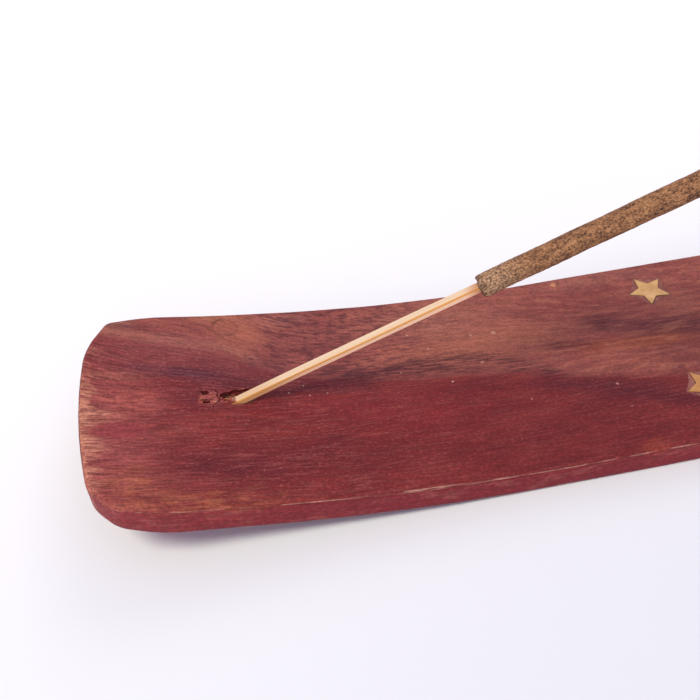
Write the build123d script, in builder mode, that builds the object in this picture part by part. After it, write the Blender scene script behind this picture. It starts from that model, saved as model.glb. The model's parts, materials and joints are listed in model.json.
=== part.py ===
from build123d import *
import math
import os

# Ski-shaped wooden incense holder: one strip of wood that curls up at one end, where a slanted
# blind hole takes the stick, with brass stars let into the flat part.
# Millimetres. X runs along the tray with the raised end at -X, Y across it, Z up from the table.

# Tray
tray_length = 260.0
tray_width = 40.0
tray_thickness = 4.4  # of the flat part
upsweep_radius = 300.0  # of the curled end, top and underside
upsweep_run = 76.0  # from the raised end to where the top is flat
underside_run = 72.0  # the same below, a little shorter, so the raised end is thicker
arris_ease = 0.25  # sanded bevel round the top
underside_ease = 0.6  # the same round the underside

# Clipped corners of both ends
end_bow = 1.0  # the middle of an end stands this far past its clips
far_clip_width = 7.7  # from the side to where the end is clipped
near_clip_width = 6.0
shoulder_run = 4.2  # from the end to the shoulder, where the clip meets the long taper
shoulder_inset = 1.45  # the shoulder's distance in from the side
taper_run = 10.0  # from the end to where the side is straight
clip_radius = 6.0
shoulder_radius = 1.2
taper_radius = 12.0

# Slanted hole for the stick
stick_angle = 21.6  # above the table
bore_from_end = 23.4  # middle of the mouth
bore_offset = 0.8  # across the tray, towards the far side
bore_diameter = 2.8
bore_floor = 0.9  # wood left under the bottom of the hole
drill_point_angle = 118.0

# Incense stick: split bamboo, rolled in paste
stick_length = 230.0
bare_length = 45.4  # of bamboo below the paste
bamboo_width = 1.4
bamboo_thickness = 1.05
bamboo_edge_radius = 0.15
paste_diameter = 3.55
paste_end_radius = 0.6
paste_tip_cover = 1.5  # paste past the end of the bamboo
seat_clearance = 0.1  # the stick's lower corner to the wall of the hole
seat_direction = 209.0  # the side of the hole that the stick leans on, in degrees about its axis
foot_clearance = 0.05  # the stick's foot to the bottom of the hole

# Brass stars, each bedded in filler in a pocket that is larger than the star
star_tips = 5
star_tip_radius = 3.6
star_notch_radius = 1.75
filler_at_tips = 0.3
filler_at_notches = 1.1
inlay_depth = 1.2
star_setback = 19.0  # the first row, past the end of the upsweep
star_row_step = 35.0
far_star_inset = 6.7  # from the side to the middle of a star
near_star_inset = 10.4
star_turns = (-13.5, -8.5, 20.0, 6.0, -24.0)  # set by hand, so each star lies at its own angle

overcut = 6.0  # cutting profiles run this far past the wood
nearly_level = 0.8  # upright share of the normal of a face that counts as top or underside

raised_end = -tray_length / 2
far_side = tray_width / 2
near_side = -tray_width / 2


def rise(run, distance):
    # Height that a curl of this run has gained at a distance from the raised end
    inside = max(run - distance, 0.0)
    return upsweep_radius - math.sqrt(upsweep_radius**2 - inside**2)


def star_outline(tip_radius, notch_radius):
    # Tips and notches in turn, the first tip pointing along -Y
    step = math.pi / star_tips
    radii = (tip_radius, notch_radius)
    return [
        (radii[i % 2] * math.sin(i * step), -radii[i % 2] * math.cos(i * step))
        for i in range(2 * star_tips)
    ]


def end_corner(direction, side, clip_width):
    # Clip, shoulder and taper of one corner; direction is -1 at the raised end, 1 at the tail
    end = direction * tray_length / 2
    inward = -direction
    outward = math.copysign(1.0, side)
    return (
        (end + inward * end_bow, side - outward * clip_width),
        (end + inward * shoulder_run, side - outward * shoulder_inset),
        (end + inward * taper_run, side),
    )


# Where the stick goes in
lean = math.radians(stick_angle)
stick_direction = Vector(math.cos(lean), 0, math.sin(lean))
across = Vector(0, 1, 0)
mouth_height = tray_thickness + rise(upsweep_run, bore_from_end)
mouth_slope = math.asin((upsweep_run - bore_from_end) / upsweep_radius)
mouth_thickness = (mouth_height - rise(underside_run, bore_from_end)) * math.cos(mouth_slope)
entry_angle = lean + mouth_slope
bore_radius = bore_diameter / 2
bore_depth = (mouth_thickness - bore_floor - bore_radius * math.cos(entry_angle)) / math.sin(entry_angle)
drill_point = bore_radius / math.tan(math.radians(drill_point_angle / 2))
bore_mouth = Vector(raised_end + bore_from_end, bore_offset, mouth_height)
bore_section = Plane(bore_mouth, x_dir=across, z_dir=across.cross(stick_direction))

# The stick's lower near corner lies against the wall of the hole, and its foot on the bottom
seat = math.radians(seat_direction)
lean_y = (bore_radius - seat_clearance) * math.cos(seat) + bamboo_width / 2
lean_z = (bore_radius - seat_clearance) * math.sin(seat) + bamboo_thickness / 2
bore_face = Plane(bore_mouth, x_dir=across, z_dir=stick_direction)
stick_foot = bore_face.from_local_coords(Vector(lean_y, lean_z, foot_clearance - bore_depth))
bamboo_section = Plane(stick_foot, x_dir=across, z_dir=stick_direction)
paste_section = bamboo_section.offset(bare_length)
bamboo_length = stick_length - paste_tip_cover
paste_length = stick_length - bare_length

# Where the stars lie: two outer rows of two and one star between them
first_row = raised_end + upsweep_run + star_setback
far_star = far_side - far_star_inset
near_star = near_side + near_star_inset
star_places = (
    (first_row, far_star),
    (first_row, near_star),
    (first_row + star_row_step, (far_star + near_star) / 2),
    (first_row + 2 * star_row_step, far_star),
    (first_row + 2 * star_row_step, near_star),
)
pocket_tip_radius = star_tip_radius + filler_at_tips
pocket_notch_radius = star_notch_radius + filler_at_notches
pocket_floor = Plane.XY.offset(tray_thickness - inlay_depth)

os.makedirs("parts", exist_ok=True)

# Tray: the side view gives the curl, the plan view gives the clipped ends
with BuildPart() as tray:
    with BuildSketch(Plane.XZ):
        with BuildLine():
            tail = tray_length / 2 + overcut
            sole = Line((tail, 0), (raised_end + underside_run, 0))
            sole_turn = math.degrees(math.asin((underside_run + overcut) / upsweep_radius))
            sole_curl = JernArc(sole @ 1, (-1, 0), upsweep_radius, -sole_turn)
            top = Line((tail, tray_thickness), (raised_end + upsweep_run, tray_thickness))
            top_turn = math.degrees(math.asin((upsweep_run + overcut) / upsweep_radius))
            top_curl = JernArc(top @ 1, (-1, 0), upsweep_radius, -top_turn)
            Line(sole_curl @ 1, top_curl @ 1)
            Line(sole @ 0, top @ 0)
        make_face()
    extrude(amount=tray_width / 2 + overcut, both=True)

    with BuildSketch() as plan:
        far_left = end_corner(-1, far_side, far_clip_width)
        near_left = end_corner(-1, near_side, near_clip_width)
        far_right = end_corner(1, far_side, far_clip_width)
        near_right = end_corner(1, near_side, near_clip_width)
        clip_middle = (near_clip_width - far_clip_width) / 2
        with BuildLine():
            ThreePointArc(near_left[0], (raised_end, clip_middle), far_left[0])
            Polyline(*far_left, *reversed(far_right))
            ThreePointArc(far_right[0], (-raised_end, clip_middle), near_right[0])
            Polyline(*near_right, *reversed(near_left))
        make_face()
        tapers, shoulders, clips = plan.vertices().group_by(lambda v: round(abs(v.X), 3))
        fillet(clips, radius=clip_radius)
        fillet(shoulders, radius=shoulder_radius)
        fillet(tapers, radius=taper_radius)
    extrude(amount=tray_thickness + rise(upsweep_run, -overcut), mode=Mode.INTERSECT)

    upward = tray.faces().filter_by(lambda f: f.normal_at().Z > nearly_level)
    downward = tray.faces().filter_by(lambda f: f.normal_at().Z < -nearly_level)
    chamfer(upward.edges().filter_by(Axis.Y, reverse=True), length=arris_ease)
    chamfer(downward.edges().filter_by(Axis.Y, reverse=True), length=underside_ease)

    with BuildSketch(pocket_floor):
        for place, turn in zip(star_places, star_turns):
            with Locations(place):
                Polygon(*star_outline(pocket_tip_radius, pocket_notch_radius), rotation=turn)
    extrude(amount=inlay_depth + overcut, mode=Mode.SUBTRACT)

    with BuildSketch(bore_section):
        Polygon(
            (0, -bore_depth - drill_point),
            (bore_radius, -bore_depth),
            (bore_radius, overcut),
            (0, overcut),
        )
    revolve(axis=Axis(bore_mouth, stick_direction), mode=Mode.SUBTRACT)
tray.part.label = "tray"
export_step(tray.part, "parts/tray.step")

# Stars and the filler round each of them, flush with the flat part of the tray
for number, (place, turn) in enumerate(zip(star_places, star_turns), start=1):
    with BuildPart() as star:
        with BuildSketch(pocket_floor):
            with Locations(place):
                Polygon(*star_outline(star_tip_radius, star_notch_radius), rotation=turn)
        extrude(amount=inlay_depth)
    star.part.label = f"star_inlay_{number}"
    export_step(star.part, f"parts/star_inlay_{number}.step")

    with BuildPart() as filler:
        with BuildSketch(pocket_floor):
            with Locations(place):
                Polygon(*star_outline(pocket_tip_radius, pocket_notch_radius), rotation=turn)
                Polygon(
                    *star_outline(star_tip_radius, star_notch_radius),
                    rotation=turn,
                    mode=Mode.SUBTRACT,
                )
        extrude(amount=inlay_depth)
    filler.part.label = f"star_filler_{number}"
    export_step(filler.part, f"parts/star_filler_{number}.step")

# Bamboo: split to a flat section, its long edges eased
with BuildPart() as bamboo:
    with BuildSketch(bamboo_section):
        RectangleRounded(bamboo_width, bamboo_thickness, bamboo_edge_radius)
    extrude(amount=bamboo_length)
bamboo.part.label = "bamboo_core"
export_step(bamboo.part, "parts/bamboo_core.step")

# Paste: a round coat with blunt ends, closed over the top of the bamboo
with BuildPart() as paste:
    with BuildSketch(paste_section):
        Circle(paste_diameter / 2)
    extrude(amount=paste_length)
    fillet(paste.edges().filter_by(GeomType.CIRCLE), radius=paste_end_radius)
    with BuildSketch(paste_section):
        RectangleRounded(bamboo_width, bamboo_thickness, bamboo_edge_radius)
    extrude(amount=bamboo_length - bare_length, mode=Mode.SUBTRACT)
paste.part.label = "incense_paste"
export_step(paste.part, "parts/incense_paste.step")
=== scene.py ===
import json
import math

import bmesh
import bpy
from mathutils import Matrix, Vector, geometry, noise


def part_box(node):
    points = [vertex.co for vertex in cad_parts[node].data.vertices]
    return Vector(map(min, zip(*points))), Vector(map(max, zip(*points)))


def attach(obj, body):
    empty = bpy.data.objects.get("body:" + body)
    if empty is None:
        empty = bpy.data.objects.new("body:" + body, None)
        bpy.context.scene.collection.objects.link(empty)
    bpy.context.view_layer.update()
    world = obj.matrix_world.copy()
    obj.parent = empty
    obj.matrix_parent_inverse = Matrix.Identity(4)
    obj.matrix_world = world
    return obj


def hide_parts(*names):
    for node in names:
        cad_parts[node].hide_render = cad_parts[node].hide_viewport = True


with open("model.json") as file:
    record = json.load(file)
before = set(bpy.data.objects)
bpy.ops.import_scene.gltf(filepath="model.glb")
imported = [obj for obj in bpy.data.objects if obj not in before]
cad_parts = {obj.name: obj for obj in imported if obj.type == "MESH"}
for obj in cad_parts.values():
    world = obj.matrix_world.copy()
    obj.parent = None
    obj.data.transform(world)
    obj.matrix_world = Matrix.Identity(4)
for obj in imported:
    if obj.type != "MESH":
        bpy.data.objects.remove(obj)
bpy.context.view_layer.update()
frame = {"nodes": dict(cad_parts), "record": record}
scene = bpy.context.scene
mm = 0.001


def hexColour(code):
    # sRGB hex to the linear colour that the shaders take
    channels = [int(code[i:i + 2], 16) / 255 for i in (0, 2, 4)]
    linear = [c / 12.92 if c <= 0.04045 else ((c + 0.055) / 1.055) ** 2.4 for c in channels]
    return (*linear, 1.0)


def addNode(tree, kind, inputs=None, out=0, stops=None, course=None, **settings):
    # one node with its settings and links; gives back the output that the next node takes
    made = tree.nodes.new("ShaderNode" + kind)
    for key, value in settings.items():
        setattr(made, key, value)
    for key, value in (inputs or {}).items():
        if isinstance(value, bpy.types.NodeSocket):
            tree.links.new(value, made.inputs[key])
        else:
            made.inputs[key].default_value = value
    if stops:
        ramp = made.color_ramp.elements
        while len(ramp) < len(stops):
            ramp.new(0.5)
        for element, (place, code) in zip(ramp, stops):
            element.position = place
            element.color = hexColour(code)
    if course:
        points = made.mapping.curves[0].points
        while len(points) < len(course):
            points.new(0.5, 0.5)
        for point, place in zip(points, course):
            point.location = place
        made.mapping.update()
    return made.outputs[out] if made.outputs else None


def startMaterial(name):
    # an empty material, and the place on the piece in millimetres for its patterns
    material = bpy.data.materials.new(name)
    material.use_nodes = True
    tree = material.node_tree
    tree.nodes.clear()
    coords = addNode(tree, "TexCoord", out="Object")
    place = addNode(tree, "VectorMath", {0: coords, "Scale": 1 / mm}, operation="SCALE")
    return material, tree, place


def finishMaterial(tree, look, relief=None):
    # the shader, with relief given as its pattern, strength and depth in millimetres
    if relief:
        pattern, strength, depth = relief
        look["Normal"] = addNode(tree, "Bump", {
            "Height": pattern, "Strength": strength, "Distance": depth * mm})
    shader = addNode(tree, "BsdfPrincipled", look)
    addNode(tree, "OutputMaterial", {"Surface": shader})


def speckle(tree, place, sizes, detail, turn=0.0, roughness=0.5):
    # noise whose patches have these sizes in millimetres
    sized = addNode(tree, "Mapping", {
        "Vector": place, "Rotation": (0, 0, turn), "Scale": tuple(1 / size for size in sizes)})
    return addNode(tree, "TexNoise", {
        "Vector": sized, "Scale": 1.0, "Detail": detail, "Roughness": roughness})


def share(tree, *factors):
    # product of shares; (measure, start, end, least, most) is one that goes smoothly from least to most
    product = None
    for factor in factors:
        if isinstance(factor, tuple):
            measure, start, end, least, most = (*factor, 0.0, 1.0)[:5]
            factor = addNode(tree, "MapRange", {
                "Value": measure, "From Min": start, "From Max": end, "To Min": least, "To Max": most},
                interpolation_type="SMOOTHSTEP")
        if product is not None:
            factor = addNode(tree, "Math", {0: product, 1: factor}, operation="MULTIPLY")
        product = factor
    return product


def paint(tree, under, over, *factors):
    # a colour or a pattern laid over what is there
    over = hexColour(over) if isinstance(over, str) else over
    return addNode(tree, "Mix", {0: share(tree, *factors), 6: under, 7: over}, out=2, data_type="RGBA")


def wobble(place, size, seed):
    # smooth noise from -1 to 1 that changes over about this many millimetres
    return noise.noise(place / size + Vector((seed, seed * 1.7, seed * 0.3)))


def smoothStep(low, high, value):
    part = min(max((value - low) / (high - low), 0.0), 1.0)
    return part * part * (3 - 2 * part)


def addMesh(name, bm, materials):
    mesh = bpy.data.meshes.new(name)
    for material in materials:
        mesh.materials.append(material)
    bm.to_mesh(mesh)
    bm.free()
    made = bpy.data.objects.new(name, mesh)
    scene.collection.objects.link(made)
    return made


def finishPiece(name, bm, materials, body, nodes=(), sharp=35):
    # millimetres to metres, smooth faces with creases past the sharp angle, and onto its body
    bmesh.ops.scale(bm, vec=(mm, mm, mm), verts=bm.verts)
    piece = addMesh(name, bm, materials)
    piece.data.shade_smooth()
    piece.data.set_sharp_from_angle(angle=math.radians(sharp))
    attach(piece, body)
    if nodes:
        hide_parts(*nodes)
    print(name, len(piece.data.polygons), "faces")


trayLow, trayHigh = (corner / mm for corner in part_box("tray"))
trayLength = trayHigh.x - trayLow.x
traySide = (trayHigh.y - trayLow.y) / 2

# Tray: one strip, curled up at the end, with eased edges
trayShape = {
    "thickness": 4.4,
    "curlRadius": 300.0,
    "topRun": 76.0,  # raised end to where the top is flat
    "soleRun": 72.0,
    "endBow": 1.0,
    "bowCuts": 7,
    "farClip": 7.4,  # corner clips, in from the side
    "nearClip": 4.7,
    "shoulderRun": 4.2,
    "shoulderInset": 1.3,
    "taperRun": 10.0,
    "farClipEase": 2.8,  # rounding of the plan's corners, along the edge
    "nearClipEase": 1.6,
    "farShoulderEase": 0.9,
    "nearShoulderEase": 1.3,
    "taperEase": 2.6,
    "easeSegments": 7,
    "rimLoops": (0.12, 0.16, 0.22, 0.3, 0.4, 0.5),  # steps inwards from the edge
    "curlStrips": (2.5, 31),  # length and number of the strips that bend
    "flatStrips": (7.0, 25),  # and of those past them
    "flatFrom": 84.0,
    "acrossCuts": (-15, -10, -5, 0, 5, 10, 15),
    "wallCuts": (0.25, 0.5, 0.75),
    "sideEase": 0.34,  # sanded radius of the top edge along the sides
    "endEase": 0.8,  # round the ends
    "cornerEase": 1.0,  # and over the near corners
    "cornerFrom": (-9, -15),  # across, where the corners' radius starts and is full
    "sideFrom": (4, 14),  # from the end, where the sides' does
    "soleEase": 0.6,
    "easeVaries": 0.3,  # share by which those radii vary
    "easeWobble": (7, 2),  # size in millimetres, and seed
    "waver": 0.12,  # how far the hand-cut sides stray
    "waverWobble": (24, 5),
    "waverApart": 40,  # lets the two sides stray differently
    "waverFrom": 0.6,  # share of the half width
    "rimReach": 4.0,  # farther in than this, the distance to the rim doesn't matter
    "rimReachAtEnds": 6.0,
    "rimWidth": 0.05,  # points nearer to the outline, or lower, belong to the walls
    "topDepth": 1.2,
    "sharp": 50,
}

# Stained hardwood, sanded and left without varnish: a dull surface, brown figure above and an even red
# stain below, fine fibres along the grain, and pale wood where hands have rubbed the edges.
# Places are millimetres from the raised end, and across from the middle
woodGrain = {
    # size of one patch along the grain and across it, in millimetres, and its detail
    "waver": (24, 7, 2),
    "fringe": (8, 0.9, 3),
    "figure": (10, 1.9, 4),
    "cloud": (11, 4, 3),
    "blotch": (3.5, 1.3, 2),
    "fibre": (3.2, 0.36, 3),
    "thread": (4.2, 0.3, 1),
    "mottle": (1.6, 0.6, 4),
    "dash": (3.2, 0.42, 1),
    "line": (2.4, 0.22, 1),
    "tooth": (0.5, 0.32, 1),
}
woodFigure = {
    "red": [(0.36, "6f2528"), (0.5, "7a2b2a"), (0.64, "83302d")],
    "brown": [(0.3, "803f3b"), (0.5, "904b43"), (0.7, "9f584b")],
    "brownEdge": [(0, 17.2), (10.5, 13.8), (19.4, 11.7), (26.6, 7.4), (37, 3.2), (48, 2.4), (60, 1.1),
                  (68, 0), (76, -2.6), (92, -6.6), (130, -10), (190, -8), (260, -13)],
    "edgeSoft": (-1.0, 1.1),  # the brown starts and is full this far past its edge
    "softerEnd": (18, 34, 0.4, 1),  # and more gently near the raised end
    "waver": 2.4,  # how far outlines stray, and their fringe
    "fringe": 2.6,
    "shake": (0.5, 0.3, 0),  # the same for the smallest marks
    "straightTo": -2.0,  # fibres are straight up to here
    "bentFrom": 12.0,  # and follow the edge of the brown wood from here on
    "bend": 0.9,
    "bendLevel": 10.0,
    "gaps": (0.42, 0.58),  # noise that breaks patches and streaks up
    "offKnot": (0.6, 1.5, 0.15, 1),  # the knot stays clear of mottling
    "wearTo": (0.35, 0.7, 0.6, 2.7),  # noise, and how far in the raised end is worn
    "fibreLight": (5, 60, 1.12, 0.66),  # how much fibres lighten and darken the wood, along the tray
    "calmLight": (0, 1, 1, 0.6),
    "toothLight": (0.3, 0.7, 0.83, 1.17),
    "roughness": (0.3, 0.7, 0.55, 0.7),
}
# A layer is a colour, its share, and what limits it: a share by its name, or a measure with where the layer
# starts and where it is full, and its least and most where they aren't 0 and 1
thinStain = {
    "raisedEnd": ("a1544f", 0.75, ("along", 21, 1.5), ("across", 9.5, 7, 0.15, 1),
                  ("cloud", 0.36, 0.62, 0.4, 1)),
}
woodShares = {
    "lined": ("brown", "offKnot", ("along", 62, 42, 0.4, 1)),
    "calm": ("brown", ("along", 55, 78)),  # further on the brown is smoother, in soft blotches
    "threads": ("red", ("along", 20, 65, 1, 0.4)),
}
woodLayers = {
    # the red grows darker further from the raised end
    "deeperRed": ("5c1a20", 0.35, "red", ("along", 20, 62)),
    "mottling": ("562a30", 0.7, ("mottle", 0.46, 0.63), "lined", ("along", 16, 27, 0.15, 1)),
    "darkDashes": ("5f2f32", 0.4, ("dash", 0.56, 0.68), "lined"),
    "darkBlotches": ("5f3230", 0.3, ("blotch", 0.52, 0.68), "calm"),
    "paleBlotches": ("a86c54", 0.25, ("blotch", 0.48, 0.34), "calm"),
    "paleThreads": ("a55f58", 0.25, ("thread", 0.5, 0.66), "threads"),
    "darkThreads": ("5a1b22", 0.28, ("line", 0.5, 0.62), "threads"),
    "paleSpecks": ("b0726a", 0.2, ("tooth", 0.64, 0.74), "threads"),
    "endLines": ("662a2c", 0.36, ("line", 0.5, 0.6), ("along", 18, 4), ("across", 14, 8, 0.3, 1)),
    # the sawn walls are an even, duller red, painted lighter than the top to make up for the weaker light on
    # them, with pale scuffs
    "wallsPaintedLighter": ("822a33", 0.65, ("edge", -0.1, -0.5)),
    "scuffs": ("a8685c", 0.25, ("blotch", 0.52, 0.66), ("fibre", 0.4, 0.55, 0.3, 1), ("edge", -0.1, -0.5)),
    # bare wood along the top edges, and over the raised end in bumps; painted shade as a dark line along the
    # raised end's rim
    "rubbedEdge": ("bf9080", 0.7, ("edge", -0.07, -0.02), ("edge", 0.08, 0.03), ("cloud", 0.4, 0.58, 0.15, 1),
                   ("dash", 0.38, 0.52, 0.05, 1)),
    "wornEnd": ("c8866b", 0.8, ("pastWear", 1.5, -0.8), ("line", 0.62, 0.46, 0.25, 1),
                ("across", 8, 0, 0.3, 1), ("across", -16, -11, 0.45, 1)),
    # painted shade: a dark line along the rounded rim of the raised end
    "paintedShadeRim": ("542831", 0.8, ("edge", -0.14, 0), ("edge", 0.34, 0.2), ("along", 8, 5),
                ("across", -14, -10)),
}
# Streaks: half width, softness, span, fade past the span, colour, share, how broken, and course
woodStreaks = {
    "smudge": (0.7, 1.2, (10, 18), 6, "4a2736", 0.8, 0.35,
               [(0, 10), (8, 8.6), (13, 7.1), (19, 5.9), (30, 4.3), (260, 0)]),
    # a dark purple streak that runs on past the hole, on the stick's far side
    "darkStreakPastHole": (1.4, 1.6, (22, 42), 6, "56242c", 0.7, 0.25,
                   [(0, 8), (18, 5), (24, 3.6), (32, 2.6), (44, 2.2), (260, 0)]),
    "farLine": (0.25, 0.6, (4, 14), 4, "5c2f33", 0.6, 0.4,
                [(0, 19.4), (5, 18), (12, 16.2), (20, 14.5), (260, 0)]),
    "scorch": (1.1, 1.3, (40, 71), 6, "45232a", 0.68, 1.0,
               [(0, 4), (38, 4.6), (48, 4.2), (56, 4.5), (63, 3.6), (71, 0.3), (78, -1.6), (260, -9)]),
    "scorchLine": (0.35, 0.7, (55, 71), 6, "4a2228", 0.75, 0.7,
                   [(0, 4), (56, 2.6), (63, 1.4), (71, -0.2), (78, -2.2), (90, -5), (260, -9)]),
    "wedge": (1.3, 2.6, (74, 106), 9, "481b28", 0.72, 0.2,
              [(0, 0), (66, -2.4), (74, -4), (80, -6), (86, -9), (92, -12), (108, -17), (260, -20)]),
    "cloudLow": (0.6, 1.1, (75, 81), 3, "5c2127", 0.8, 0.6,
                 [(0, 6), (72, 4.6), (80, 3.2), (88, 2), (260, -9)]),
    "cloud": (1.4, 2.2, (84, 130), 5, "50252d", 0.85, 0.45,
              [(0, 6), (77, 8.6), (84, 7.6), (89, 5.8), (98, 4), (112, 0), (260, -9)]),
    "glow": (0.8, 1.4, (82, 93), 6, "9c5232", 0.55, 0.35,
             [(0, 3), (82, 2.6), (90, 1.7), (98, 0.8), (115, -3), (260, -12)]),
    "paleBand": (0.7, 1.2, (3, 25), 4, "ad6e5b", 0.5, 0.3,
                 [(0, 17.6), (5, 16.6), (12, 14.6), (20, 12.9), (27, 9.4), (36, 7), (260, 0)]),
    "hairline": (0.08, 0.18, (46, 52), 4, "b0705a", 0.6, 0.6,
                 [(0, 3), (44, 2.5), (52, 1.7), (60, 0.6), (66, -0.4), (260, -9)]),
    "tailBrown": (1.2, 1.8, (112, 250), 14, "522630", 0.6, 0.5,
                  [(0, 9), (105, 10), (140, 11), (175, 7), (215, 8), (260, 5)]),
    "tailTan": (1.4, 2.0, (118, 255), 12, "a0603f", 0.45, 0.4,
                [(0, 3), (110, 5), (150, 2), (200, 0), (260, -3)]),
    "tailRed": (0.8, 1.6, (150, 240), 16, "481b25", 0.5, 0.3,
                [(0, -12), (140, -14.5), (200, -12.6), (260, -16)]),
}
# Patches are ellipses: middle, half length and half width, softness, colour, share, and how broken
woodPatches = {
    "knotSide": ((24.6, 15.6), (4, 5.0), 0.6, "ac664d", 0.57, 0.2),
    "knotHeart": ((23, 17), (1.8, 1.8), 0.3, "945444", 0.7, 0.0),
    "knotFar": ((21, 19.4), (3.4, 1.0), 0.7, "a86a4e", 0.6, 0.3),
    "farDark": ((36.5, 14), (8, 5.2), 0.5, "64343a", 0.2, 0.5),
    "farRed": ((82, 13.2), (11, 3.4), 0.6, "7f3f39", 0.6, 0.3),
    "rose": ((11.5, 11.6), (12.5, 3.9), 0.6, "884746", 0.65, 0.2),
    "dullRose": ((23.5, 7), (8, 2.6), 0.8, "723a3e", 0.65, 0.2),
    "lightBrick": ((5, 6.4), (4.5, 1.2), 0.8, "a86351", 0.5, 0.3),
    "endBrick": ((7, 1), (4.5, 3), 0.8, "b05a50", 0.55, 0.2),
    "wornAbove": ((2.4, -2.2), (3.2, 1.4), 0.8, "c6846c", 0.75, 0.5),
    "wornBelow": ((1.8, -7.0), (2.4, 1.8), 0.8, "c07e68", 0.65, 0.5),
    "nearTan": ((7.6, -15), (4.2, 2.6), 0.8, "a8603f", 0.6, 0.8),
    "nearTanLow": ((17, -18.2), (9, 1.4), 0.8, "a85c40", 0.8, 0.8),
    "starShade": ((96, 1.6), (8, 3.2), 0.8, "5a2828", 0.75, 0.3),
    "nearRust": ((82.4, -18.9), (2.2, 0.9), 0.6, "9c4331", 0.7, 0.2),
    "dullRed": ((22, -12), (9, 3.4), 0.8, "5c2129", 0.6, 0.3),
    "deepRed": ((79, -10), (9, 3), 0.8, "5f1e26", 0.5, 0.3),
    "nearHole": ((18.5, 1.8), (5, 2.4), 0.8, "6a2c33", 0.4, 0.2),
    "paleBrown": ((63, 7), (14, 3.4), 0.8, "b06c52", 0.65, 0.3),
    "farPale": ((57, 14.8), (12, 4.8), 0.8, "9e6454", 0.65, 0.4),
    "farEdgePale": ((32, 18.6), (4.4, 1.6), 0.8, "ac6c5e", 0.55, 0.3),
    "starSmudge": ((98.5, 9.5), (3.2, 2.6), 0.8, "a4664e", 0.5, 0.4),
    "farPaleRight": ((86, 18.7), (10, 2.0), 0.8, "9b6356", 0.55, 0.3),
    "cornerRub": ((5.5, 18.2), (2.6, 1.6), 0.8, "b07a68", 0.5, 0.4),
    "lowShade": ((93.5, -5), (5, 3.2), 0.8, "5f2d2d", 0.5, 0.3),
    "midRed": ((40, -2.4), (10, 2.2), 0.8, "8e3033", 0.5, 0.3),
    "dullRedFar": ((39, -13), (9, 3), 0.8, "5f2128", 0.45, 0.3),
    "brightRed": ((52, -6), (9, 3.4), 0.8, "86262b", 0.5, 0.3),
    "midTan": ((72, 3), (11, 3.2), 0.7, "884a40", 0.45, 0.3),
    "lowTan": ((84, -2.4), (7, 1.8), 0.6, "8d4f3e", 0.3, 0.3),
    "bruise": ((19.2, 1.1), (1.3, 1.6), 0.4, "a65a54", 0.7, 0.4),
    "bruiseEdge": ((17.8, 0.6), (0.5, 0.7), 0.5, "b2604a", 0.8, 0.2),
}
knotRing = {"centre": (23, 17), "reach": (2.1, 2.1), "colour": "5c2f2e", "share": 0.6,
            "inside": (0.72, 0.92), "outside": (1.2, 1.0), "gaps": (0.4, 0.6, 0.2, 1)}
# Marks: middle, half length and half width, colour
tongue = ((5.7, -4.7), (4.6, 1.6), "8e3a3d")  # stain left between the worn bumps of the raised end
flecks = [
    ((66.5, 9.7), (0.42, 0.34), "bb876a"), ((62.7, 9.8), (0.26, 0.22), "b4826e"),
    ((62.8, 3.4), (0.3, 0.24), "b4826e"), ((55.0, 8.0), (0.26, 0.22), "b4826e"),
    ((52.3, 11.7), (0.24, 0.22), "b4826e"), ((80.0, 18.8), (0.5, 0.55), "c98a5e"),
    ((29.4, 3.4), (0.16, 0.14), "c0a096"), ((31.2, 1.3), (0.18, 0.14), "c0a096"),
    ((33.6, 2.6), (0.15, 0.13), "c0a096"), ((34.3, 0.4), (0.16, 0.13), "c0a096"),
    ((57.0, 0.1), (0.18, 0.16), "c0a096"), ((68.0, -5.9), (0.2, 0.18), "a8706c"),
    ((82.0, -5.9), (0.22, 0.26), "b07a72"), ((82.4, -10.8), (0.16, 0.14), "a8706c"),
    ((37.0, 0.6), (0.16, 0.14), "b08c84"),
]
fleckLook = {"share": 0.8, "outline": (1.2, 0.7)}
dust = {"spacing": 4.5, "radius": 0.24, "chosen": 0.06, "colour": "b98a70", "share": 0.75,
        "outline": (1.0, 0.5), "onTop": (0.3, 0.6), "from": (40, 50)}


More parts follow.
